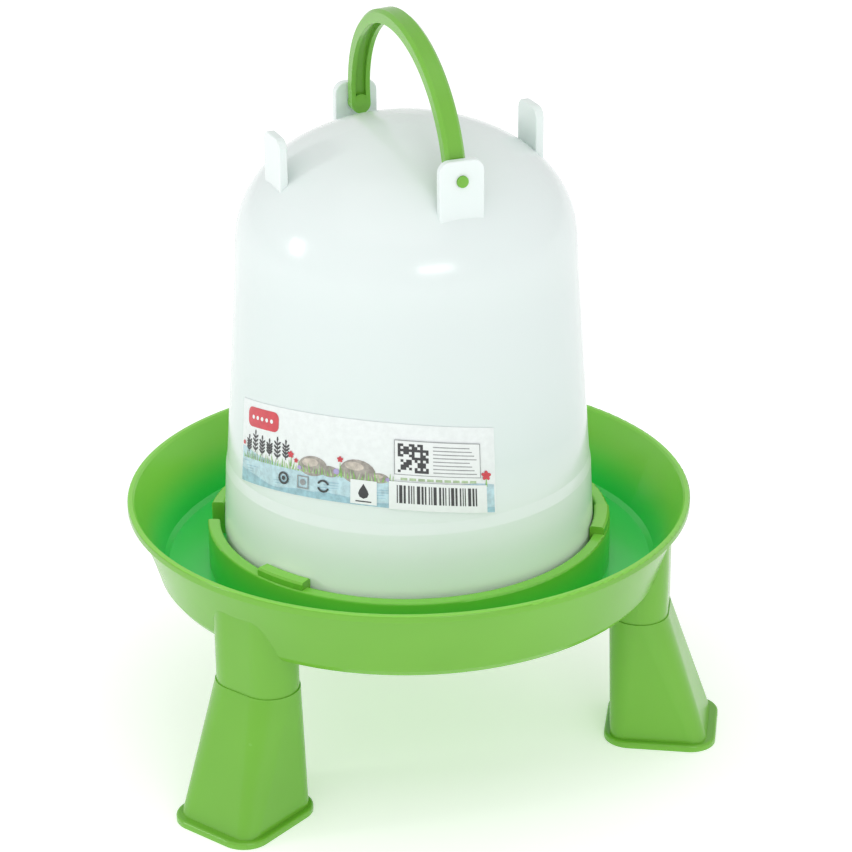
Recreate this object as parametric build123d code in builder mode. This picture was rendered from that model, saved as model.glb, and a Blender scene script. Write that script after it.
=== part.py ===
from build123d import *
from math import cos
from math import pi
from math import radians
from math import sin
import os

# Poultry waterer fount: a bell-shaped reservoir stands in a round drinking tray on three
# plug-in legs. +Z is up, the origin lies on the fount's axis at the ground, and +Y points
# over the back leg. All lengths are millimetres and all angles are degrees.

# Tray: a round dish with a rolled lip, a drinking trough and a collar round the seat
RIM_Z = 91.0
RIM_RADIUS = 100.8
LIP_INNER_RADIUS = 99.0
LIP_THICKNESS = 2.4
LIP_ROUNDING = 0.7
WALL_OUTSIDE = ((98.9, 88.6), (95.9, 81.0), (93.1, 73.0), (90.7, 65.0))
WALL_INSIDE = ((98.3, 90.2), (94.4, 81.4), (91.3, 73.4), (88.6, 66.6))
DISH_BOTTOM_Z = 62.9
DISH_BOTTOM_RADIUS = 89.2
TROUGH_FLOOR_Z = 65.1
TROUGH_FLOOR_RADIUS = 87.0
SEAT_Z = 68.5
SEAT_UNDERSIDE_Z = 66.4
SEAT_STEP_RADIUS = 66.0
COLLAR_INNER_RADIUS = 68.0
COLLAR_OUTER_RADIUS = 72.4
COLLAR_TOP_Z = 81.0
COLLAR_ROUNDING = 0.8
NOTCH_AZIMUTH = 156.5
NOTCH_WIDTH = 14.0
NOTCH_HEIGHT = 20.0

# Bayonet: three hooks on the collar catch three lugs on the foot of the tank
LEG_AZIMUTHS = (90.0, 210.0, 330.0)
HOOK_HALF_ANGLE = 8.0
HOOK_INNER_RADIUS = 66.75
HOOK_UNDERSIDE_Z = 74.4
HOOK_TOP_Z = 83.8
HOOK_TOP_CHAMFER = 0.7
STOP_HALF_ANGLE = 0.9
STOP_OFFSET_ANGLE = 8.9
LUG_HALF_ANGLE = 7.0
LUG_RADIUS = 67.6
LUG_BOTTOM_Z = 69.6
LUG_TOP_Z = 74.0
LUG_CHAMFER = 0.8

# Stubs under the tray: ovals set across the radius, with a plug that the legs push on to
STUB_CENTRE_RADIUS = 84.2
STUB_DEPTH = 20.6
STUB_WIDTH = 31.2
STUB_CORNER = 10.2
STUB_BOTTOM_Z = 48.6
STUB_TOP_Z = 84.0
PLUG_DEPTH = 14.6
PLUG_WIDTH = 24.6
PLUG_CORNER = 7.2
PLUG_BOTTOM_Z = 39.6
PLUG_CHAMFER = 0.8
STUB_BORE_DEPTH = 10.2
STUB_BORE_WIDTH = 20.2
STUB_BORE_CORNER = 5.0
STUB_BORE_TOP_Z = 60.6

# Legs: hollow, oval at the top and a flanged rounded rectangle at the foot
LEG_TOP_DEPTH = 21.4
LEG_TOP_WIDTH = 32.0
LEG_TOP_CORNER = 10.6
SOCKET_DEPTH = 15.2
SOCKET_WIDTH = 25.2
SOCKET_CORNER = 7.5
SOCKET_BOTTOM_Z = 39.0
FOOT_CENTRE_RADIUS = 93.1
FOOT_DEPTH = 36.0
FOOT_WIDTH = 33.8
FOOT_CORNER = 5.6
HOLLOW_TOP_CENTRE_RADIUS = 86.0
HOLLOW_TOP_DEPTH = 20.0
HOLLOW_TOP_WIDTH = 27.8
HOLLOW_TOP_CORNER = 8.0
HOLLOW_FOOT_DEPTH = 31.6
HOLLOW_FOOT_WIDTH = 29.4
HOLLOW_FOOT_CORNER = 3.6
FLANGE_DEPTH = 40.6
FLANGE_WIDTH = 38.2
FLANGE_CORNER = 9.6
FLANGE_HEIGHT = 2.4
FLANGE_ROUNDING = 0.9

# Tank: a thin bell with a stepped skirt, a drafted wall and a domed top
TANK_WALL = 1.6
TANK_BOTTOM_Z = 68.6
SKIRT_RADIUS = 66.3
SKIRT_STRAIGHT_Z = 80.0
SKIRT_TOP_RADIUS = 65.2
SKIRT_TOP_Z = 103.0
WALL_BASE_RADIUS = 64.5
WALL_BASE_Z = 107.0
SHOULDER_RADIUS = 59.8
SHOULDER_Z = 174.3
DOME_TOP_Z = 229.0
DOME_RADIAL_POWER = 1.75
DOME_HEIGHT_POWER = 3.0
DOME_STEPS = 9
PORT_WIDTH = 10.0
PORT_HEIGHT = 7.4

# Ears: four upright tabs on the dome, two of them carrying the handle
PIN_EAR_INNER_RADIUS = 47.4
SIDE_EAR_INNER_RADIUS = 45.2
EAR_THICKNESS = 3.0
EAR_WIDTH = 15.8
EAR_TOP_Z = 229.0
EAR_ROOT_Z = 196.0
EAR_CORNER = 4.0
EAR_SOFTENING = 0.5
PIVOT_Z = 222.0
PIN_HOLE_RADIUS = 2.06
PIN_RADIUS = 2.0
PIN_END_RADIUS = 51.1

# Handle: an arched strap with a grooved inside, leaning slightly to one side
HANDLE_WIDTH = 7.0
HANDLE_THICKNESS = 4.6
HANDLE_HALF_SPAN = 44.5
HANDLE_RISE = 42.0
HANDLE_LEAN = -3.5
HANDLE_BEVEL = 1.1
GROOVE_WIDTH = 3.8
GROOVE_DEPTH = 1.6

# Label: a printed film wrapped round part of the drafted wall
LABEL_GAP = 0.05
LABEL_FILM = 0.2
LABEL_START_AZIMUTH = 184.8
LABEL_END_AZIMUTH = 275.8
LABEL_HEIGHT = 29.8
LABEL_CENTRE_Z = 129.2
LABEL_TILT = 16.0
LABEL_BAND_BOTTOM_Z = 107.4
LABEL_BAND_TOP_Z = 150.0

SHARED_EPS = 0.5
FULL_TURN = 360.0


def radial_plane(azimuth):
    """Upright plane through the axis: local x points outwards, local y points up."""
    outwards = (cos(radians(azimuth)), sin(radians(azimuth)), 0)
    sideways = (sin(radians(azimuth)), -cos(radians(azimuth)), 0)
    return Plane(origin=(0, 0, 0), x_dir=outwards, z_dir=sideways)


def level_plane(azimuth, radius, height):
    """Horizontal plane at a radius from the axis: local x points outwards."""
    outwards = (cos(radians(azimuth)), sin(radians(azimuth)), 0)
    centre = (radius * cos(radians(azimuth)), radius * sin(radians(azimuth)), height)
    return Plane(origin=centre, x_dir=outwards, z_dir=(0, 0, 1))


def wall_radius(height):
    """Outer radius of the tank's drafted wall at a height."""
    share = (height - WALL_BASE_Z) / (SHOULDER_Z - WALL_BASE_Z)
    return WALL_BASE_RADIUS + share * (SHOULDER_RADIUS - WALL_BASE_RADIUS)


def dome_points(inset):
    """Points up the dome's side, for a surface that lies inset inside the outer one."""
    points = []
    for step in range(1, DOME_STEPS):
        turn = step / DOME_STEPS * pi / 2
        across = (SHOULDER_RADIUS - inset) * cos(turn) ** (2 / DOME_RADIAL_POWER)
        rise = (DOME_TOP_Z - inset - SHOULDER_Z) * sin(turn) ** (2 / DOME_HEIGHT_POWER)
        points.append((across, SHOULDER_Z + rise))
    return points


def bell_outline(inset):
    """Half section of the bell from its foot to the top of its dome, at an inset."""
    shoulder = (SHOULDER_RADIUS - inset, SHOULDER_Z)
    crown = (0, DOME_TOP_Z - inset)
    draft = (SHOULDER_RADIUS - WALL_BASE_RADIUS, SHOULDER_Z - WALL_BASE_Z)
    Polyline(
        (0, TANK_BOTTOM_Z),
        (SKIRT_RADIUS - inset, TANK_BOTTOM_Z),
        (SKIRT_RADIUS - inset, SKIRT_STRAIGHT_Z),
        (SKIRT_TOP_RADIUS - inset, SKIRT_TOP_Z),
        (WALL_BASE_RADIUS - inset, WALL_BASE_Z),
        shoulder,
    )
    Spline(shoulder, *dome_points(inset), crown, tangents=(draft, (-1, 0)))
    Line(crown, (0, TANK_BOTTOM_Z))


# Tray
with BuildPart() as tray:
    # Stubs first, then everything above the dish's outside is cleared from them
    for azimuth in LEG_AZIMUTHS:
        with BuildSketch(level_plane(azimuth, STUB_CENTRE_RADIUS, STUB_BOTTOM_Z)):
            RectangleRounded(STUB_DEPTH, STUB_WIDTH, STUB_CORNER)
        extrude(amount=STUB_TOP_Z - STUB_BOTTOM_Z)
        with BuildSketch(level_plane(azimuth, STUB_CENTRE_RADIUS, PLUG_BOTTOM_Z)):
            RectangleRounded(PLUG_DEPTH, PLUG_WIDTH, PLUG_CORNER)
        extrude(amount=STUB_BOTTOM_Z - PLUG_BOTTOM_Z)
    plug_ends = tray.faces().filter_by(Axis.Z).group_by(Axis.Z)[0]
    chamfer([edge for face in plug_ends for edge in face.edges()], length=PLUG_CHAMFER)
    with BuildSketch(Plane.XZ):
        with BuildLine():
            Polyline(
                WALL_OUTSIDE[0],
                (LIP_INNER_RADIUS, RIM_Z),
                (0, RIM_Z),
                (0, TROUGH_FLOOR_Z),
                (DISH_BOTTOM_RADIUS, TROUGH_FLOOR_Z),
                WALL_OUTSIDE[-1],
            )
            Spline(*WALL_OUTSIDE)
        make_face()
    revolve(axis=Axis.Z, mode=Mode.SUBTRACT)
    # The dish itself
    with BuildSketch(Plane.XZ):
        with BuildLine():
            Spline(*WALL_OUTSIDE)
            Spline(*WALL_INSIDE)
            Polyline(
                WALL_OUTSIDE[-1],
                (DISH_BOTTOM_RADIUS, DISH_BOTTOM_Z),
                (SEAT_STEP_RADIUS, DISH_BOTTOM_Z),
                (SEAT_STEP_RADIUS, SEAT_UNDERSIDE_Z),
                (0, SEAT_UNDERSIDE_Z),
                (0, SEAT_Z),
                (COLLAR_INNER_RADIUS, SEAT_Z),
                (COLLAR_INNER_RADIUS, COLLAR_TOP_Z - COLLAR_ROUNDING),
            )
            collar_arc_z = COLLAR_TOP_Z - COLLAR_ROUNDING
            CenterArc((COLLAR_INNER_RADIUS + COLLAR_ROUNDING, collar_arc_z), COLLAR_ROUNDING, 90, 90)
            Line(
                (COLLAR_INNER_RADIUS + COLLAR_ROUNDING, COLLAR_TOP_Z),
                (COLLAR_OUTER_RADIUS - COLLAR_ROUNDING, COLLAR_TOP_Z),
            )
            CenterArc((COLLAR_OUTER_RADIUS - COLLAR_ROUNDING, collar_arc_z), COLLAR_ROUNDING, 0, 90)
            Polyline(
                (COLLAR_OUTER_RADIUS, collar_arc_z),
                (COLLAR_OUTER_RADIUS, TROUGH_FLOOR_Z),
                (TROUGH_FLOOR_RADIUS, TROUGH_FLOOR_Z),
                WALL_INSIDE[-1],
            )
            Polyline(
                WALL_OUTSIDE[0],
                (RIM_RADIUS, RIM_Z - LIP_THICKNESS),
                (RIM_RADIUS, RIM_Z - LIP_ROUNDING),
            )
            CenterArc((RIM_RADIUS - LIP_ROUNDING, RIM_Z - LIP_ROUNDING), LIP_ROUNDING, 0, 90)
            Polyline(
                (RIM_RADIUS - LIP_ROUNDING, RIM_Z),
                (LIP_INNER_RADIUS, RIM_Z),
                WALL_INSIDE[0],
            )
        make_face()
    revolve(axis=Axis.Z)
    # Water notch through the collar
    with BuildSketch(level_plane(NOTCH_AZIMUTH, COLLAR_INNER_RADIUS, SEAT_Z)):
        Rectangle(2 * (COLLAR_OUTER_RADIUS - COLLAR_INNER_RADIUS) + 2, NOTCH_WIDTH)
    extrude(amount=NOTCH_HEIGHT, mode=Mode.SUBTRACT)
    # Hooks over the collar, each with an end stop under it
    for azimuth in LEG_AZIMUTHS:
        with BuildSketch(radial_plane(azimuth - HOOK_HALF_ANGLE)):
            with BuildLine():
                Polyline(
                    (HOOK_INNER_RADIUS, HOOK_UNDERSIDE_Z),
                    (COLLAR_INNER_RADIUS + SHARED_EPS, HOOK_UNDERSIDE_Z),
                    (COLLAR_INNER_RADIUS + SHARED_EPS, COLLAR_TOP_Z - 2 * COLLAR_ROUNDING),
                    (COLLAR_OUTER_RADIUS - COLLAR_ROUNDING, COLLAR_TOP_Z - 2 * COLLAR_ROUNDING),
                    (COLLAR_OUTER_RADIUS - COLLAR_ROUNDING / 2, COLLAR_TOP_Z - COLLAR_ROUNDING / 2),
                    (COLLAR_OUTER_RADIUS - COLLAR_ROUNDING / 2, HOOK_TOP_Z - HOOK_TOP_CHAMFER),
                    (COLLAR_OUTER_RADIUS - COLLAR_ROUNDING / 2 - HOOK_TOP_CHAMFER, HOOK_TOP_Z),
                    (HOOK_INNER_RADIUS + HOOK_TOP_CHAMFER, HOOK_TOP_Z),
                    (HOOK_INNER_RADIUS, HOOK_TOP_Z - HOOK_TOP_CHAMFER),
                    close=True,
                )
            make_face()
        revolve(axis=Axis.Z, revolution_arc=2 * HOOK_HALF_ANGLE)
        with BuildSketch(radial_plane(azimuth - STOP_OFFSET_ANGLE)):
            with BuildLine():
                Polyline(
                    (HOOK_INNER_RADIUS, SEAT_Z - SHARED_EPS),
                    (COLLAR_INNER_RADIUS + SHARED_EPS, SEAT_Z - SHARED_EPS),
                    (COLLAR_INNER_RADIUS + SHARED_EPS, HOOK_UNDERSIDE_Z + 1),
                    (HOOK_INNER_RADIUS, HOOK_UNDERSIDE_Z + 1),
                    close=True,
                )
            make_face()
        revolve(axis=Axis.Z, revolution_arc=2 * STOP_HALF_ANGLE)
    # Bores up the stubs
    for azimuth in LEG_AZIMUTHS:
        with BuildSketch(level_plane(azimuth, STUB_CENTRE_RADIUS, PLUG_BOTTOM_Z)):
            RectangleRounded(STUB_BORE_DEPTH, STUB_BORE_WIDTH, STUB_BORE_CORNER)
        extrude(amount=STUB_BORE_TOP_Z - PLUG_BOTTOM_Z, mode=Mode.SUBTRACT)

tray.part.label = "tray"


def make_ear(azimuth, inner_radius):
    """One upright ear with round top corners and softened edges."""
    outwards = (cos(radians(azimuth)), sin(radians(azimuth)), 0)
    along = (-sin(radians(azimuth)), cos(radians(azimuth)), 0)
    root = (inner_radius * outwards[0], inner_radius * outwards[1], EAR_ROOT_Z)
    with BuildPart() as ear:
        with BuildSketch(Plane(origin=root, x_dir=along, z_dir=outwards)) as outline:
            Rectangle(EAR_WIDTH, EAR_TOP_Z - EAR_ROOT_Z, align=(Align.CENTER, Align.MIN))
            fillet(outline.vertices().group_by(Axis.Y)[-1], radius=EAR_CORNER)
        extrude(amount=EAR_THICKNESS)
        broad_faces = ear.faces().sort_by(SortBy.AREA)[-2:]
        fillet([edge for face in broad_faces for edge in face.edges()], radius=EAR_SOFTENING)
    return ear.part


# Tank
with BuildPart() as tank:
    with BuildSketch(Plane.XZ):
        with BuildLine():
            bell_outline(0)
        make_face()
    revolve(axis=Axis.Z)
    for azimuth in LEG_AZIMUTHS:
        with BuildSketch(radial_plane(azimuth - LUG_HALF_ANGLE)):
            with BuildLine():
                Polyline(
                    (SKIRT_RADIUS - SHARED_EPS, LUG_BOTTOM_Z),
                    (LUG_RADIUS - LUG_CHAMFER, LUG_BOTTOM_Z),
                    (LUG_RADIUS, LUG_BOTTOM_Z + LUG_CHAMFER),
                    (LUG_RADIUS, LUG_TOP_Z),
                    (SKIRT_RADIUS - SHARED_EPS, LUG_TOP_Z),
                    close=True,
                )
            make_face()
        revolve(axis=Axis.Z, revolution_arc=2 * LUG_HALF_ANGLE)
    for quarter in range(4):
        ear_inside = PIN_EAR_INNER_RADIUS if quarter % 2 else SIDE_EAR_INNER_RADIUS
        add(make_ear(quarter * FULL_TURN / 4, ear_inside))
    with BuildSketch(Plane.XZ):
        with BuildLine():
            bell_outline(TANK_WALL)
        make_face()
    revolve(axis=Axis.Z, mode=Mode.SUBTRACT)
    # Pin holes through the front and back ears
    for side in (1, -1):
        ear_plane = Plane(origin=(0, side * PIN_EAR_INNER_RADIUS, PIVOT_Z), x_dir=(1, 0, 0), z_dir=(0, side, 0))
        with BuildSketch(ear_plane):
            Circle(PIN_HOLE_RADIUS)
        extrude(amount=EAR_THICKNESS, mode=Mode.SUBTRACT)
    # Port that lets the water out towards the notch
    with BuildSketch(level_plane(NOTCH_AZIMUTH, SKIRT_RADIUS, TANK_BOTTOM_Z)):
        Rectangle(4 * TANK_WALL, PORT_WIDTH)
    extrude(amount=PORT_HEIGHT, mode=Mode.SUBTRACT)

tank.part.label = "tank"


def make_leg(azimuth):
    """One hollow leg with the socket that its stub's plug fits."""
    with BuildPart() as leg:
        with BuildSketch(level_plane(azimuth, STUB_CENTRE_RADIUS, STUB_BOTTOM_Z)):
            RectangleRounded(LEG_TOP_DEPTH, LEG_TOP_WIDTH, LEG_TOP_CORNER)
        with BuildSketch(level_plane(azimuth, FOOT_CENTRE_RADIUS, 0)):
            RectangleRounded(FOOT_DEPTH, FOOT_WIDTH, FOOT_CORNER)
        loft()
        with BuildSketch(level_plane(azimuth, FOOT_CENTRE_RADIUS, 0)):
            RectangleRounded(FLANGE_DEPTH, FLANGE_WIDTH, FLANGE_CORNER)
        extrude(amount=FLANGE_HEIGHT)
        flange_top = leg.faces().filter_by(Axis.Z).group_by(Axis.Z)[1]
        fillet(flange_top[0].outer_wire().edges(), radius=FLANGE_ROUNDING)
        with BuildSketch(level_plane(azimuth, HOLLOW_TOP_CENTRE_RADIUS, SOCKET_BOTTOM_Z)):
            RectangleRounded(HOLLOW_TOP_DEPTH, HOLLOW_TOP_WIDTH, HOLLOW_TOP_CORNER)
        with BuildSketch(level_plane(azimuth, FOOT_CENTRE_RADIUS, 0)):
            RectangleRounded(HOLLOW_FOOT_DEPTH, HOLLOW_FOOT_WIDTH, HOLLOW_FOOT_CORNER)
        loft(mode=Mode.SUBTRACT)
        with BuildSketch(level_plane(azimuth, STUB_CENTRE_RADIUS, SOCKET_BOTTOM_Z)):
            RectangleRounded(SOCKET_DEPTH, SOCKET_WIDTH, SOCKET_CORNER)
        extrude(amount=STUB_BOTTOM_Z - SOCKET_BOTTOM_Z, mode=Mode.SUBTRACT)
    return leg.part


leg_back = make_leg(LEG_AZIMUTHS[0])
leg_left = make_leg(LEG_AZIMUTHS[1])
leg_right = make_leg(LEG_AZIMUTHS[2])
leg_back.label = "leg_back"
leg_left.label = "leg_left"
leg_right.label = "leg_right"


# Handle, built upright and then leaned about its pins
with BuildPart() as upright_handle:
    with BuildLine(Plane.YZ) as arch:
        EllipticalCenterArc((0, PIVOT_Z), HANDLE_HALF_SPAN, HANDLE_RISE, 0, arc_size=FULL_TURN / 2)
    with BuildSketch(Plane(origin=arch.line @ 0, x_dir=(1, 0, 0), z_dir=arch.line % 0)):
        with BuildLine():
            Polyline(
                (-HANDLE_WIDTH / 2, -HANDLE_THICKNESS / 2),
                (-GROOVE_WIDTH / 2, -HANDLE_THICKNESS / 2),
                (-GROOVE_WIDTH / 2, GROOVE_DEPTH - HANDLE_THICKNESS / 2),
                (GROOVE_WIDTH / 2, GROOVE_DEPTH - HANDLE_THICKNESS / 2),
                (GROOVE_WIDTH / 2, -HANDLE_THICKNESS / 2),
                (HANDLE_WIDTH / 2, -HANDLE_THICKNESS / 2),
                (HANDLE_WIDTH / 2, HANDLE_THICKNESS / 2 - HANDLE_BEVEL),
                (HANDLE_WIDTH / 2 - HANDLE_BEVEL, HANDLE_THICKNESS / 2),
                (HANDLE_BEVEL - HANDLE_WIDTH / 2, HANDLE_THICKNESS / 2),
                (-HANDLE_WIDTH / 2, HANDLE_THICKNESS / 2 - HANDLE_BEVEL),
                close=True,
            )
        make_face()
    sweep(path=arch.line)
    # Rounded arm ends and the pins that turn in the ears
    for side in (1, -1):
        arm_inside = HANDLE_HALF_SPAN - HANDLE_THICKNESS / 2
        end_plane = Plane(origin=(0, side * arm_inside, PIVOT_Z), x_dir=(1, 0, 0), z_dir=(0, side, 0))
        with BuildSketch(end_plane):
            Circle(HANDLE_WIDTH / 2)
        extrude(amount=HANDLE_THICKNESS)
        with BuildSketch(end_plane):
            Circle(PIN_RADIUS)
        extrude(amount=PIN_END_RADIUS - arm_inside)

bail_handle = upright_handle.part.rotate(Axis((0, 0, PIVOT_Z), (0, 1, 0)), HANDLE_LEAN)
bail_handle.label = "bail_handle"


# Label film: a band of the drafted wall's surface, cut along two parallel tilted planes
label_middle = (LABEL_START_AZIMUTH + LABEL_END_AZIMUTH) / 2
with BuildPart() as label:
    with BuildSketch(radial_plane(LABEL_START_AZIMUTH)):
        with BuildLine():
            Polyline(
                (wall_radius(LABEL_BAND_BOTTOM_Z) + LABEL_GAP, LABEL_BAND_BOTTOM_Z),
                (wall_radius(LABEL_BAND_BOTTOM_Z) + LABEL_GAP + LABEL_FILM, LABEL_BAND_BOTTOM_Z),
                (wall_radius(LABEL_BAND_TOP_Z) + LABEL_GAP + LABEL_FILM, LABEL_BAND_TOP_Z),
                (wall_radius(LABEL_BAND_TOP_Z) + LABEL_GAP, LABEL_BAND_TOP_Z),
                close=True,
            )
        make_face()
    revolve(axis=Axis.Z, revolution_arc=LABEL_END_AZIMUTH - LABEL_START_AZIMUTH)
    tilt_outwards = (cos(radians(label_middle)), sin(radians(label_middle)), 0)
    slab_normal = (
        -sin(radians(LABEL_TILT)) * tilt_outwards[0],
        -sin(radians(LABEL_TILT)) * tilt_outwards[1],
        cos(radians(LABEL_TILT)),
    )
    slab_centre = (
        SKIRT_RADIUS * tilt_outwards[0],
        SKIRT_RADIUS * tilt_outwards[1],
        LABEL_CENTRE_Z,
    )
    with BuildSketch(Plane(origin=slab_centre, z_dir=slab_normal)):
        Circle(2 * RIM_RADIUS)
    extrude(amount=LABEL_HEIGHT / 2, both=True, mode=Mode.INTERSECT)

label.part.label = "label"


os.makedirs("parts", exist_ok=True)
export_step(tray.part, "parts/tray.step")
export_step(tank.part, "parts/tank.step")
export_step(leg_back, "parts/leg_back.step")
export_step(leg_left, "parts/leg_left.step")
export_step(leg_right, "parts/leg_right.step")
export_step(bail_handle, "parts/bail_handle.step")
export_step(label.part, "parts/label.step")
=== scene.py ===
import math

import bmesh
import bpy
from mathutils import Matrix, Vector


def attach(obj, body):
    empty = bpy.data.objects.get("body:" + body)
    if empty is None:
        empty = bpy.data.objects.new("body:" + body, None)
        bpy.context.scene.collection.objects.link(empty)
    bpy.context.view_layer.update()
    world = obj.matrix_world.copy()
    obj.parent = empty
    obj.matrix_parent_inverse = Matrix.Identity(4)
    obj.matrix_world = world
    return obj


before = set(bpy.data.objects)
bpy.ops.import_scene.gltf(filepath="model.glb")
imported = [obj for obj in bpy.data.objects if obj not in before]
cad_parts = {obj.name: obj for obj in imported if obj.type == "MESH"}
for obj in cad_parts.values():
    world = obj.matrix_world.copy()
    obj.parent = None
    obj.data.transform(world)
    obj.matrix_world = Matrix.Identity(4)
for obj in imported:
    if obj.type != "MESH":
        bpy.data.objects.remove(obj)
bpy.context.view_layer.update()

MM = 0.001

# ---------------------------------------------------------------- shader helpers

# Socket indices of a Mix node that is set to colours
MIX_FACTOR, MIX_BASE, MIX_COLOUR, MIX_RESULT = 0, 6, 7, 2


def new_material(name):
    """A new material, returned with its node tree and its Principled BSDF."""
    material = bpy.data.materials.new(name)
    material.use_nodes = True
    tree = material.node_tree
    return material, tree, tree.nodes["Principled BSDF"]


def node(tree, kind, **values):
    """Adds a node and sets its inputs or its properties by name."""
    made = tree.nodes.new(kind)
    for key, value in values.items():
        if key in made.inputs:
            made.inputs[key].default_value = value
        else:
            setattr(made, key, value)
    return made


def math_node(tree, operation, *values):
    """A math node over sockets or numbers; returns its output."""
    made = node(tree, "ShaderNodeMath", operation=operation)
    for socket, value in zip(made.inputs, values):
        if isinstance(value, (int, float)):
            socket.default_value = value
        else:
            tree.links.new(value, socket)
    return made.outputs[0]


def times(tree, first, second):
    """The product of two sockets or numbers."""
    return math_node(tree, "MULTIPLY", first, second)


def one_minus(tree, value):
    """One minus a socket's value."""
    return math_node(tree, "SUBTRACT", 1.0, value)


def dot_across(tree, first, second):
    """The dot product of two vectors' x and y sockets."""
    along_x = times(tree, first[0], second[0])
    along_y = times(tree, first[1], second[1])
    return math_node(tree, "ADD", along_x, along_y)


def ramp(tree, fac, stops):
    """A colour ramp through (position, rgb) stops; returns its colour output."""
    made = tree.nodes.new("ShaderNodeValToRGB")
    elements = made.color_ramp.elements
    while len(elements) < len(stops):
        elements.new(0.5)
    for element, (position, value) in zip(elements, stops):
        element.position = position
        element.color = (*value, 1.0)
    tree.links.new(fac, made.inputs[0])
    return made.outputs[0]


def grey_ramp(tree, fac, stops):
    """A ramp through (position, grey) stops; returns its colour output."""
    return ramp(tree, fac, [(position, (grey, grey, grey)) for position, grey in stops])


def tint(tree, fac, base, colour):
    """Mixes a base colour socket towards an rgb colour; returns the colour output."""
    made = node(tree, "ShaderNodeMix", data_type="RGBA")
    tree.links.new(fac, made.inputs[MIX_FACTOR])
    tree.links.new(base, made.inputs[MIX_BASE])
    made.inputs[MIX_COLOUR].default_value = (*colour, 1.0)
    return made.outputs[MIX_RESULT]


def noise_value(tree, coords, scale, detail, roughness=0.5):
    """Noise of a scale over the given coordinates; returns its value output."""
    made = node(tree, "ShaderNodeTexNoise", Scale=scale, Detail=detail, Roughness=roughness)
    tree.links.new(coords, made.inputs["Vector"])
    return made.outputs[0]


def bump(tree, shader, height, strength, distance):
    """Feeds a height through a bump node into the shader's normal."""
    made = node(tree, "ShaderNodeBump", Strength=strength, Distance=distance)
    tree.links.new(height, made.inputs["Height"])
    tree.links.new(made.outputs[0], shader.inputs["Normal"])


def object_coords(tree):
    """Object coordinates, which are the frame's metres with every body at rest."""
    return tree.nodes.new("ShaderNodeTexCoord").outputs["Object"]


def axes_of(tree, vector):
    """The x, y and z sockets of a vector."""
    split = tree.nodes.new("ShaderNodeSeparateXYZ")
    tree.links.new(vector, split.inputs[0])
    return split.outputs[0], split.outputs[1], split.outputs[2]


def smooth_step(tree, value, band):
    """0 below the band's low end, 1 above its high end, smooth between."""
    made = node(tree, "ShaderNodeMapRange", interpolation_type="SMOOTHSTEP")
    made.inputs["From Min"].default_value, made.inputs["From Max"].default_value = band
    tree.links.new(value, made.inputs["Value"])
    return made.outputs[0]


def soft_inside(shader, weight, radius):
    """Subsurface scattering of a weight, with an rgb radius in metres."""
    shader.inputs["Subsurface Weight"].default_value = weight
    shader.inputs["Subsurface Radius"].default_value = radius
    shader.inputs["Subsurface Scale"].default_value = 1.0


# ---------------------------------------------------------------- materials

LEAF_GREEN = (0.160, 0.440, 0.036)
# Painted light: the lighter green painted on the tray's inner faces, and the deeper green of light
# bounced between its walls, painted low in the trough
PAINTED_INNER_LIGHT_GREEN = (0.250, 0.660, 0.070)
PAINTED_BOUNCE_GREEN = (0.014, 0.700, 0.115)
# A lighter green that sharp edges lean towards
SHARP_EDGE_GREEN = (0.28, 0.60, 0.13)
COOL_MILK = (0.740, 0.810, 0.835)
FILM_WHITE = (0.80, 0.84, 0.84)

CLOUD_SPREAD = 0.05
EDGE_POINTINESS = (0.53, 0.62)
EDGE_SHARE = 0.22
GREEN_FINE_SHARE = 0.03

# Bands over which painted light in the tray's colour changes: inner faces are painted lighter, and
# a painted green of bounced light deepens towards the trough's floor. Heights and radii are in
# metres, and the two
# facings are parts of the surface normal: outwards from the fount's axis, and upwards.
OUTWARD_FACING = (-0.6, 0.1)
UPWARD_FACING = (0.45, 0.95)
COLLAR_FACE_FROM = (0.0718, 0.0722)
COLLAR_FACE_TO = (0.0724, 0.0735)
ABOVE_UNDERSIDE = (0.0638, 0.0646)
ABOVE_DEEP_PART = (0.066, 0.084)
COLLAR_PAINTED_LIGHT_SHARE = 0.8
PAINTED_BOUNCE_SHARE = 0.9

# Painted light and shade up the tank: its foot is painted whiter, as light from the tray coming
# through, and its middle painted darker
TANK_FOOT_Z = 0.0686
TANK_COLOUR_HEIGHT = 0.162
TANK_PAINTED_LIGHT_COLOURS = (
    (0.00, (0.955, 0.975, 0.965)),
    (0.14, (0.890, 0.945, 0.915)),
    (0.34, (0.700, 0.790, 0.765)),
    (0.65, (0.715, 0.793, 0.775)),
    (1.00, (0.815, 0.885, 0.860)),
)
COOL_SHARE = 0.25
TANK_FINE_SHARE = 0.02
FILM_ROUGHNESS = 0.34


def trough_painted_light(tree, coords, normal, base):
    """Paints light into the tray's inner faces: a painted lighter green on them, and a painted
    deeper green of light bounced between the walls towards the trough's floor.
    """
    place = axes_of(tree, coords)
    facing = axes_of(tree, normal)
    radius = math_node(tree, "SQRT", dot_across(tree, place, place))
    outward = math_node(tree, "DIVIDE", dot_across(tree, facing, place), radius)
    inward_wall = one_minus(tree, smooth_step(tree, outward, OUTWARD_FACING))
    level_floor = smooth_step(tree, facing[2], UPWARD_FACING)
    inside = math_node(tree, "MAXIMUM", inward_wall, level_floor)
    collar_face = times(
        tree,
        one_minus(tree, smooth_step(tree, radius, COLLAR_FACE_TO)),
        smooth_step(tree, radius, COLLAR_FACE_FROM),
    )
    inside = math_node(tree, "MAXIMUM", inside, times(tree, collar_face, COLLAR_PAINTED_LIGHT_SHARE))
    inside = times(tree, inside, smooth_step(tree, place[2], ABOVE_UNDERSIDE))
    low = one_minus(tree, smooth_step(tree, place[2], ABOVE_DEEP_PART))
    # inside is the share of painted inner light, and deep the share of painted bounce green
    deep = times(tree, times(tree, inside, low), PAINTED_BOUNCE_SHARE)
    return tint(tree, deep, tint(tree, inside, base, PAINTED_INNER_LIGHT_GREEN), PAINTED_BOUNCE_GREEN)


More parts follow.
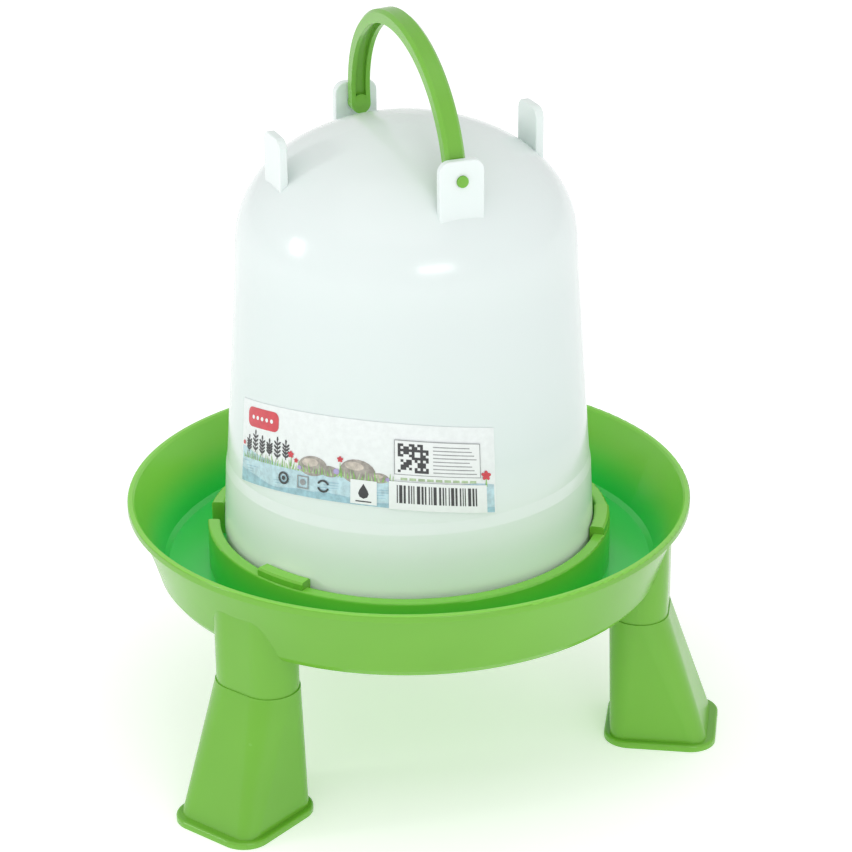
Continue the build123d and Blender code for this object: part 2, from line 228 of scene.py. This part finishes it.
def green_plastic(name, trough=False):
    """Moulded green plastic: faint cloudiness, a fine skin, a lighter green on sharp edges, and on
    the tray painted light in its trough.
    """
    material, tree, shader = new_material(name)
    coords = object_coords(tree)
    geometry = tree.nodes.new("ShaderNodeNewGeometry")
    cloud = noise_value(tree, coords, scale=18.0, detail=2.0)
    flow = noise_value(tree, coords, scale=60.0, detail=3.0)
    fine = noise_value(tree, coords, scale=420.0, detail=1.0)
    darker = tuple(channel * (1 - CLOUD_SPREAD) for channel in LEAF_GREEN)
    lighter = tuple(channel * (1 + CLOUD_SPREAD) for channel in LEAF_GREEN)
    base = ramp(tree, cloud, ((0.30, darker), (0.70, lighter)))
    # On the tray, painted light: lighter inner faces and a deeper painted bounce green low in the
    # trough
    if trough:
        base = trough_painted_light(tree, coords, geometry.outputs["Normal"], base)
    edges = smooth_step(tree, geometry.outputs["Pointiness"], EDGE_POINTINESS)
    # Sharp edges, found by pointiness, lean towards a lighter green
    base = tint(tree, times(tree, edges, EDGE_SHARE), base, SHARP_EDGE_GREEN)
    gloss = grey_ramp(tree, flow, ((0.35, 0.20), (0.70, 0.27)))
    tree.links.new(base, shader.inputs["Base Color"])
    tree.links.new(gloss, shader.inputs["Roughness"])
    soft_inside(shader, weight=0.12, radius=(0.0012, 0.0030, 0.0006))
    relief = math_node(tree, "ADD", flow, times(tree, fine, GREEN_FINE_SHARE))
    bump(tree, shader, relief, strength=0.04, distance=0.0005)
    return material


def milky_plastic(name):
    """Milky moulded plastic with painted light and shade up its height: whitest at its foot,
    painted as light from the tray coming through, and painted darker around its middle.
    """
    material, tree, shader = new_material(name)
    coords = object_coords(tree)
    cloud = noise_value(tree, coords, scale=16.0, detail=2.0)
    waves = noise_value(tree, coords, scale=30.0, detail=2.0)
    fine = noise_value(tree, coords, scale=380.0, detail=1.0)
    above_foot = math_node(tree, "SUBTRACT", axes_of(tree, coords)[2], TANK_FOOT_Z)
    height = math_node(tree, "DIVIDE", above_foot, TANK_COLOUR_HEIGHT)
    # Painted light and shade by height: a whiter foot and a darker middle
    base = ramp(tree, height, TANK_PAINTED_LIGHT_COLOURS)
    base = tint(tree, times(tree, cloud, COOL_SHARE), base, COOL_MILK)
    gloss = grey_ramp(tree, waves, ((0.3, 0.15), (0.7, 0.21)))
    tree.links.new(base, shader.inputs["Base Color"])
    tree.links.new(gloss, shader.inputs["Roughness"])
    soft_inside(shader, weight=0.15, radius=(0.0020, 0.0024, 0.0022))
    relief = math_node(tree, "ADD", waves, times(tree, fine, TANK_FINE_SHARE))
    bump(tree, shader, relief, strength=0.06, distance=0.0010)
    return material


def printed_film(name, colour, variation):
    """A printed ink on film: slight mottling of the ink and a satin skin."""
    material, tree, shader = new_material(name)
    mottle = noise_value(tree, object_coords(tree), scale=420.0, detail=3.0, roughness=0.6)
    darker = tuple(channel * (1 - variation) for channel in colour)
    lighter = tuple(min(1.0, channel * (1 + variation)) for channel in colour)
    base = ramp(tree, mottle, ((0.35, darker), (0.65, lighter)))
    tree.links.new(base, shader.inputs["Base Color"])
    shader.inputs["Roughness"].default_value = FILM_ROUGHNESS
    bump(tree, shader, mottle, strength=0.06, distance=0.0002)
    return material


GREEN = green_plastic("green_plastic_look")
CAD_LOOKS = {
    # The tray's look carries painted light in its trough
    "tray": green_plastic("green_tray_look", trough=True),
    "tank": milky_plastic("milky_tank_look"),
    "leg_back": GREEN,
    "leg_left": GREEN,
    "leg_right": GREEN,
    "bail_handle": GREEN,
    "label": printed_film("label_white_look", FILM_WHITE, 0.03),
}
for node_name, look in CAD_LOOKS.items():
    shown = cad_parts[node_name]
    shown.data.materials.clear()
    shown.data.materials.append(look)

# ---------------------------------------------------------------- label artwork
# Plain generic print in thin layers just over the label film. u runs along the film from its
# left end and v up from its middle line, both in millimetres, and azimuths are in degrees.

# The tank's drafted wall runs straight between these two (radius, height) points, and the
# film's outer face stands FILM_OUTSIDE off it
WALL_BASE = (64.5, 107.0)
SHOULDER = (59.8, 174.3)
SKIRT_RADIUS = 66.3
FILM_OUTSIDE = 0.25
LABEL_START = 184.8
LABEL_END = 275.8
LABEL_CENTRE_Z = 129.2
LABEL_TILT = 16.0
ARC_RADIUS = 63.0
LABEL_LENGTH = math.radians(LABEL_END - LABEL_START) * ARC_RADIUS
LAYER_STEP = 0.04

# Longer edges are cut, in at most so many rounds, so that flat shapes follow the round wall
LONGEST_EDGE = 1.6
CUTTING_ROUNDS = 8


def on_label(u, v, layer):
    """The point of the film's surface at (u, v), lifted by a number of ink layers."""
    azimuth = math.radians(LABEL_START) + u / ARC_RADIUS
    middle = math.radians((LABEL_START + LABEL_END) / 2)
    z = LABEL_CENTRE_Z + math.tan(math.radians(LABEL_TILT)) * (
        ARC_RADIUS * math.cos(azimuth - middle) - SKIRT_RADIUS
    ) + v
    share = (z - WALL_BASE[1]) / (SHOULDER[1] - WALL_BASE[1])
    radius = WALL_BASE[0] + share * (SHOULDER[0] - WALL_BASE[0]) + FILM_OUTSIDE + layer * LAYER_STEP
    return Vector((radius * math.cos(azimuth) * MM, radius * math.sin(azimuth) * MM, z * MM))


def print_piece(name, shapes, material, layer):
    """One printed layer made of closed (u, v) outlines, bent on to the film."""
    mesh = bpy.data.meshes.new(name)
    work = bmesh.new()
    for outline in shapes:
        work.faces.new([work.verts.new((u, v, 0)) for u, v in outline])
    bmesh.ops.triangulate(work, faces=work.faces[:])
    for _ in range(CUTTING_ROUNDS):
        long_edges = [edge for edge in work.edges if edge.calc_length() > LONGEST_EDGE]
        if not long_edges:
            break
        bmesh.ops.subdivide_edges(work, edges=long_edges, cuts=1)
        bmesh.ops.triangulate(work, faces=work.faces[:])
    for vert in work.verts:
        vert.co = on_label(vert.co.x, vert.co.y, layer)
    work.normal_update()
    for face in work.faces:
        centre = face.calc_center_median()
        if face.normal.dot(Vector((centre.x, centre.y, 0))) < 0:
            face.normal_flip()
        face.smooth = True
    work.to_mesh(mesh)
    work.free()
    mesh.materials.append(material)
    piece = bpy.data.objects.new(name, mesh)
    bpy.context.scene.collection.objects.link(piece)
    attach(piece, "tank_body")


# Outlines of the plain shapes


def box_outline(left, low, right, high):
    """A rectangle."""
    return [(left, low), (right, low), (right, high), (left, high)]


def pill_outline(left, low, right, high, corner):
    """A rectangle with round corners."""
    corner_steps = 6
    outline = []
    for centre_u, centre_v, start in (
        (right - corner, high - corner, 0),
        (left + corner, high - corner, 90),
        (left + corner, low + corner, 180),
        (right - corner, low + corner, 270),
    ):
        for step in range(corner_steps + 1):
            turn = math.radians(start + 90 * step / corner_steps)
            outline.append(
                (centre_u + corner * math.cos(turn), centre_v + corner * math.sin(turn))
            )
    return outline


def oval_outline(centre_u, centre_v, half_u, half_v, lean=0.0, steps=20):
    """An ellipse, leaning by an angle in degrees."""
    cos_lean = math.cos(math.radians(lean))
    sin_lean = math.sin(math.radians(lean))
    outline = []
    for step in range(steps):
        turn = math.tau * step / steps
        along = half_u * math.cos(turn)
        across = half_v * math.sin(turn)
        outline.append((
            centre_u + along * cos_lean - across * sin_lean,
            centre_v + along * sin_lean + across * cos_lean,
        ))
    return outline


def ring_outlines(centre_u, centre_v, outer, inner, start=0, sweep=360, steps=18):
    """A ring or an arc of one, as a row of small four-sided shapes."""

    def at(radius, turn):
        return (centre_u + radius * math.cos(turn), centre_v + radius * math.sin(turn))

    shapes = []
    for step in range(steps):
        first = math.radians(start + sweep * step / steps)
        last = math.radians(start + sweep * (step + 1) / steps)
        shapes.append([at(outer, first), at(outer, last), at(inner, last), at(inner, first)])
    return shapes


def blade_outline(u, v, height, sway):
    """A pointed blade of grass."""
    return [
        (u - 0.35, v),
        (u + 0.35, v),
        (u + 0.2 + 0.5 * sway, v + 0.55 * height),
        (u + sway, v + height),
    ]


# The drawing's parts, each a list of outlines

SHORE_LENGTH = 24.0
SHORE_RISE = 3.0
WATER_MARGIN = 0.6
GRASS_FOOT = -5.9
PANEL = (65.4, -2.5, 94.6, 9.8)
PANEL_RULE = 0.25
POPPIES = (
    (27.6, -0.6, 1.15),
    (29.9, -2.4, 0.8),
    (46.9, 0.6, 1.0),
    (96.6, -1.6, 1.6),
    (1.9, -0.6, 0.8),
)


def water_band(low, high, swell, phase):
    """A wavy band right along the label, as upright slices that rise at the left shore."""
    slices = 60
    edges = []
    for index in range(slices + 1):
        u = WATER_MARGIN + (LABEL_LENGTH - 2 * WATER_MARGIN) * index / slices
        wave = swell * math.sin(u / 7.0 + phase) + 0.5 * swell * math.sin(u / 2.9 + 2 * phase)
        shore = SHORE_RISE * max(0.0, 1 - u / SHORE_LENGTH) ** 1.5
        edges.append((u, high + wave + shore))
    return [
        [(u0, low), (u1, low), (u1, high1), (u0, high0)]
        for (u0, high0), (u1, high1) in zip(edges, edges[1:])
    ]


def ripple_outlines():
    """Short thin strokes scattered over the water."""
    return [
        oval_outline(
            3.5 + (index * 37 % 92),
            -7.0 - (index * 53 % 55) / 10,
            2.2 + index % 3,
            0.16,
            3.0,
            10,
        )
        for index in range(22)
    ]


def sprig_outlines():
    """A row of upright sprigs, each a stem with four pairs of leaves and a bud."""
    leaf_lean = 42
    shapes = []
    for index in range(6):
        stem_u = 5.2 + 4.0 * index
        stem_v = -3.6 + 0.5 * (index % 2)
        tall = 5.2 + 0.9 * (index * 2 % 3)
        shapes.append(box_outline(stem_u - 0.16, stem_v, stem_u + 0.16, stem_v + tall))
        for pair in range(4):
            leaf_v = stem_v + 1.5 + pair * (tall - 2.0) / 3.4
            for side in (1, -1):
                leaf_u = stem_u + side * 0.85
                shapes.append(oval_outline(leaf_u, leaf_v, 1.0, 0.36, side * leaf_lean, 12))
        shapes.append(oval_outline(stem_u, stem_v + tall + 0.4, 0.36, 0.9, 0, 12))
    return shapes


def grass_outlines():
    """Blades of grass along the water's edge."""
    shapes = []
    for index in range(54):
        height = 1.8 + (index * 29 % 17) / 7
        sway = ((index * 13) % 7 - 3) * 0.25
        shapes.append(blade_outline(2.5 + index * 1.18, GRASS_FOOT, height, sway))
    return shapes


def poppy_outlines():
    """Small flowers of five petals."""
    petals = 5
    shapes = []
    for centre_u, centre_v, size in POPPIES:
        for petal in range(petals):
            turn = math.tau * petal / petals + 0.3
            shapes.append(
                oval_outline(
                    centre_u + 0.55 * size * math.cos(turn),
                    centre_v + 0.55 * size * math.sin(turn),
                    0.6 * size,
                    0.42 * size,
                    math.degrees(turn),
                    10,
                )
            )
    return shapes


def checker_outlines():
    """A block of scattered square cells that encodes nothing."""
    cell = 0.93
    cells = 11
    shapes = []
    for row in range(cells):
        for column in range(cells):
            if (row * 131 + column * 197 + row * column * 29) % 11 > 5:
                continue
            left = 66.6 + column * cell
            low = -1.6 + row * cell
            shapes.append(box_outline(left, low, left + cell, low + cell))
    return shapes


def rule_outlines():
    """Thin rules of uneven length, in place of text."""
    shapes = []
    for row in range(8):
        low = -1.3 + row * 1.3
        shapes.append(box_outline(78.3, low, 93.2 - (row * 5 % 4) * 0.8, low + 0.34))
    return shapes


def bar_outlines():
    """Upright bars of uneven width that encode nothing."""
    widths = (0.35, 0.7, 0.35, 1.05, 0.5)
    gaps = (0.45, 0.8, 0.4)
    last_start = 93.4
    left = 66.2
    index = 0
    shapes = []
    while left <= last_start:
        width = widths[index * 3 % len(widths)]
        shapes.append(box_outline(left, -12.6, left + width, -6.2))
        left += width + gaps[index * 2 % len(gaps)]
        index += 1
    return shapes


def frame_outlines(left, low, right, high, rule):
    """Four thin boxes just inside a rectangle."""
    return [
        box_outline(left, high - rule, right, high),
        box_outline(left, low, right, low + rule),
        box_outline(left, low, left + rule, high),
        box_outline(right - rule, low, right, high),
    ]


INK_COLOURS = {
    "pale_blue": ((0.48, 0.66, 0.73), 0.14),
    "mid_blue": ((0.33, 0.54, 0.63), 0.16),
    "red": ((0.62, 0.055, 0.075), 0.08),
    "grass": ((0.26, 0.50, 0.14), 0.20),
    "sage": ((0.42, 0.55, 0.34), 0.20),
    "stone": ((0.36, 0.33, 0.30), 0.25),
    "sand": ((0.56, 0.50, 0.44), 0.22),
    "lilac": ((0.40, 0.34, 0.60), 0.10),
    "dark": ((0.045, 0.047, 0.050), 0.15),
    "grey": ((0.30, 0.31, 0.32), 0.12),
    "white": ((0.82, 0.85, 0.85), 0.02),
}
INKS = {
    ink: printed_film(f"ink_{ink}_look", colour, variation)
    for ink, (colour, variation) in INK_COLOURS.items()
}

GRASS = grass_outlines()
MOUNDS = [
    oval_outline(36.5, -3.4, 5.6, 3.6, 4),
    oval_outline(43.0, -4.4, 3.4, 2.0, 0),
    oval_outline(53.0, -3.2, 6.2, 4.4, -4),
    oval_outline(60.4, -4.6, 3.2, 1.8, 0),
]
MOUND_LIGHTS = [
    oval_outline(35.6, -2.2, 3.2, 1.5, 6),
    oval_outline(51.8, -1.2, 3.4, 1.5, -4),
    oval_outline(60.0, -4.0, 1.6, 0.7, 0),
]
STEMS = [
    blade_outline(96.6, -5.6, 3.6, 0.0),
    blade_outline(46.9, -5.4, 5.4, 0.0),
    blade_outline(27.6, -5.0, 4.0, 0.2),
]
SMALL_BLOOMS = [
    oval_outline(45.6, -3.9, 1.1, 1.0),
    oval_outline(31.4, -4.6, 0.8, 0.8),
    oval_outline(63.2, -4.8, 0.7, 0.7),
]
DASHES = [box_outline(67.5 + 2.9 * index, -4.4, 69.7 + 2.9 * index, -3.5) for index in range(9)]
DROP = [
    (55.1, -7.0),
    (53.7, -9.4),
    (53.3, -10.6),
    (53.8, -11.8),
    (55.1, -12.4),
    (56.4, -11.8),
    (56.9, -10.6),
    (56.5, -9.4),
]
DROP_MARK = [DROP, box_outline(52.4, -13.6, 57.8, -13.15)]
RING_MARK = ring_outlines(24.6, -9.6, 2.3, 1.55) + [oval_outline(24.6, -9.6, 0.8, 0.8)]
SQUARE_MARK = frame_outlines(30.6, -12.0, 35.2, -7.4, 0.4) + [oval_outline(32.9, -9.7, 1.1, 1.1)]
ARCS_MARK = [
    shape
    for start in (20, 200)
    for shape in ring_outlines(40.8, -9.9, 2.3, 1.6, start, 140, 9)
]

# Every printed piece: its name, its outlines, its ink and the layer that it lies in
for piece_name, outlines, ink, layer in (
    ("label_water", water_band(-14.9, -5.2, 0.5, 0.4), "pale_blue", 1),
    ("label_water_shade", water_band(-14.9, -12.9, 0.6, 2.1), "mid_blue", 2),
    ("label_ripples", ripple_outlines(), "mid_blue", 3),
    ("label_red_badge", [pill_outline(4.2, 6.0, 21.6, 13.2, 2.4)], "red", 2),
    (
        "label_badge_dots",
        [oval_outline(7.6 + 2.6 * index, 9.6, 0.75, 0.75) for index in range(5)],
        "white",
        3,
    ),
    ("label_sprigs", sprig_outlines(), "dark", 3),
    ("label_grass", GRASS[::2], "grass", 4),
    ("label_grass_pale", GRASS[1::2], "sage", 5),
    ("label_mounds", MOUNDS, "stone", 2),
    ("label_mound_lights", MOUND_LIGHTS, "sand", 3),
    ("label_poppies", poppy_outlines(), "red", 6),
    ("label_stems", STEMS, "grass", 5),
    ("label_small_blooms", SMALL_BLOOMS, "lilac", 7),
    ("label_panel", [box_outline(65.4, -4.2, 94.6, 9.8)], "white", 8),
    ("label_panel_frame", frame_outlines(*PANEL, PANEL_RULE), "grey", 9),
    ("label_checker", checker_outlines(), "dark", 9),
    ("label_rules", rule_outlines(), "grey", 9),
    ("label_dashes", DASHES, "sage", 9),
    ("label_bar_panel", [box_outline(63.6, -15.0, 96.6, -5.0)], "white", 10),
    ("label_bars", bar_outlines(), "dark", 11),
    ("label_patch", [box_outline(50.6, -14.4, 59.6, -5.8)], "white", 8),
    ("label_drop_mark", DROP_MARK, "dark", 9),
    ("label_mark_ring", RING_MARK, "dark", 8),
    ("label_mark_square", SQUARE_MARK, "grey", 8),
    ("label_mark_arcs", ARCS_MARK, "dark", 8),
):
    print_piece(piece_name, outlines, INKS[ink], layer)

# ---------------------------------------------------------------- floor, light and camera

WHITE = (1.0, 1.0, 1.0, 1.0)
FLOOR_SIZE = 12
FLOOR_GREY = 0.93
FLOOR_GLOW = 0.32
WORLD_STRENGTH = 0.74

bpy.ops.mesh.primitive_plane_add(size=1.0, location=(0, 0, 0))
floor = bpy.context.active_object
floor.name = "studio_floor"
floor.scale = (FLOOR_SIZE, FLOOR_SIZE, 1)
floor_material, _, floor_shader = new_material("studio_floor_look")
floor_shader.inputs["Base Color"].default_value = (FLOOR_GREY, FLOOR_GREY, FLOOR_GREY, 1.0)
floor_shader.inputs["Roughness"].default_value = 0.9
floor_shader.inputs["Emission Color"].default_value = WHITE
floor_shader.inputs["Emission Strength"].default_value = FLOOR_GLOW
floor.data.materials.append(floor_material)

scene = bpy.context.scene
world = bpy.data.worlds.new("studio_world")
scene.world = world
world.use_nodes = True
background = world.node_tree.nodes["Background"]
background.inputs["Color"].default_value = WHITE
background.inputs["Strength"].default_value = WORLD_STRENGTH
scene.view_settings.view_transform = "Standard"

# The camera was fitted to the photograph: AIM is seen at AIM_PIXEL of a square picture
CAMERA_AZIMUTH = math.radians(248.2)
CAMERA_ELEVATION = math.radians(23.7146)
CAMERA_ROLL = math.radians(0.3942)
CAMERA_DISTANCE = 1.0
FOCAL_PIXELS = 2781.7
FRAME_PIXELS = 852
SENSOR_MM = 36.0
AIM = Vector((0, 0, 91.0 * MM))
AIM_PIXEL = (408.764, 486.556)


def direction(azimuth, elevation):
    """The unit vector at an azimuth and an elevation in radians."""
    return Vector((
        math.cos(azimuth) * math.cos(elevation),
        math.sin(azimuth) * math.cos(elevation),
        math.sin(elevation),
    ))


back = direction(CAMERA_AZIMUTH, CAMERA_ELEVATION)
right = Vector((-math.sin(CAMERA_AZIMUTH), math.cos(CAMERA_AZIMUTH), 0))
up = back.cross(right)
cos_roll = math.cos(CAMERA_ROLL)
sin_roll = math.sin(CAMERA_ROLL)
aim_u = (AIM_PIXEL[0] - FRAME_PIXELS / 2) / FOCAL_PIXELS
aim_v = -(AIM_PIXEL[1] - FRAME_PIXELS / 2) / FOCAL_PIXELS
shift_right = cos_roll * aim_u + sin_roll * aim_v
shift_up = -sin_roll * aim_u + cos_roll * aim_v
place = AIM + CAMERA_DISTANCE * (back - right * shift_right - up * shift_up)
rolled_right = cos_roll * right - sin_roll * up
rolled_up = sin_roll * right + cos_roll * up

camera_data = bpy.data.cameras.new("photo_camera")
camera = bpy.data.objects.new("photo_camera", camera_data)
scene.collection.objects.link(camera)
camera_data.sensor_width = SENSOR_MM
camera_data.lens = FOCAL_PIXELS / FRAME_PIXELS * SENSOR_MM
camera.matrix_world = Matrix((
    (rolled_right.x, rolled_up.x, back.x, place.x),
    (rolled_right.y, rolled_up.y, back.y, place.y),
    (rolled_right.z, rolled_up.z, back.z, place.z),
    (0, 0, 0, 1),
))
scene.camera = camera


def soft_box(name, azimuth, elevation, distance, size, power, aim):
    """A rectangular area light at an azimuth and elevation in degrees about its aim point."""
    data = bpy.data.lights.new(name, "AREA")
    data.shape = "RECTANGLE"
    data.size, data.size_y = size
    data.energy = power
    lamp = bpy.data.objects.new(name, data)
    scene.collection.objects.link(lamp)
    offset = direction(math.radians(azimuth), math.radians(elevation))
    lamp.location = Vector(aim) + distance * offset
    lamp.rotation_euler = (-offset).to_track_quat("-Z", "Y").to_euler()


# Two lights stand where the photograph's highlights on the tank put them; the third only fills
soft_box(
    "key_left",
    azimuth=168.8,
    elevation=13.0,
    distance=1.6,
    size=(0.24, 0.30),
    power=3.6,
    aim=(-0.05, -0.03, 0.199),
)
soft_box(
    "key_front",
    azimuth=267.6,
    elevation=11.5,
    distance=1.6,
    size=(0.62, 0.17),
    power=3.6,
    aim=(-0.01, -0.056, 0.196),
)
soft_box(
    "top_soft",
    azimuth=235,
    elevation=70,
    distance=1.9,
    size=(2.2, 2.2),
    power=7.0,
    aim=(0, 0, 0.14),
)

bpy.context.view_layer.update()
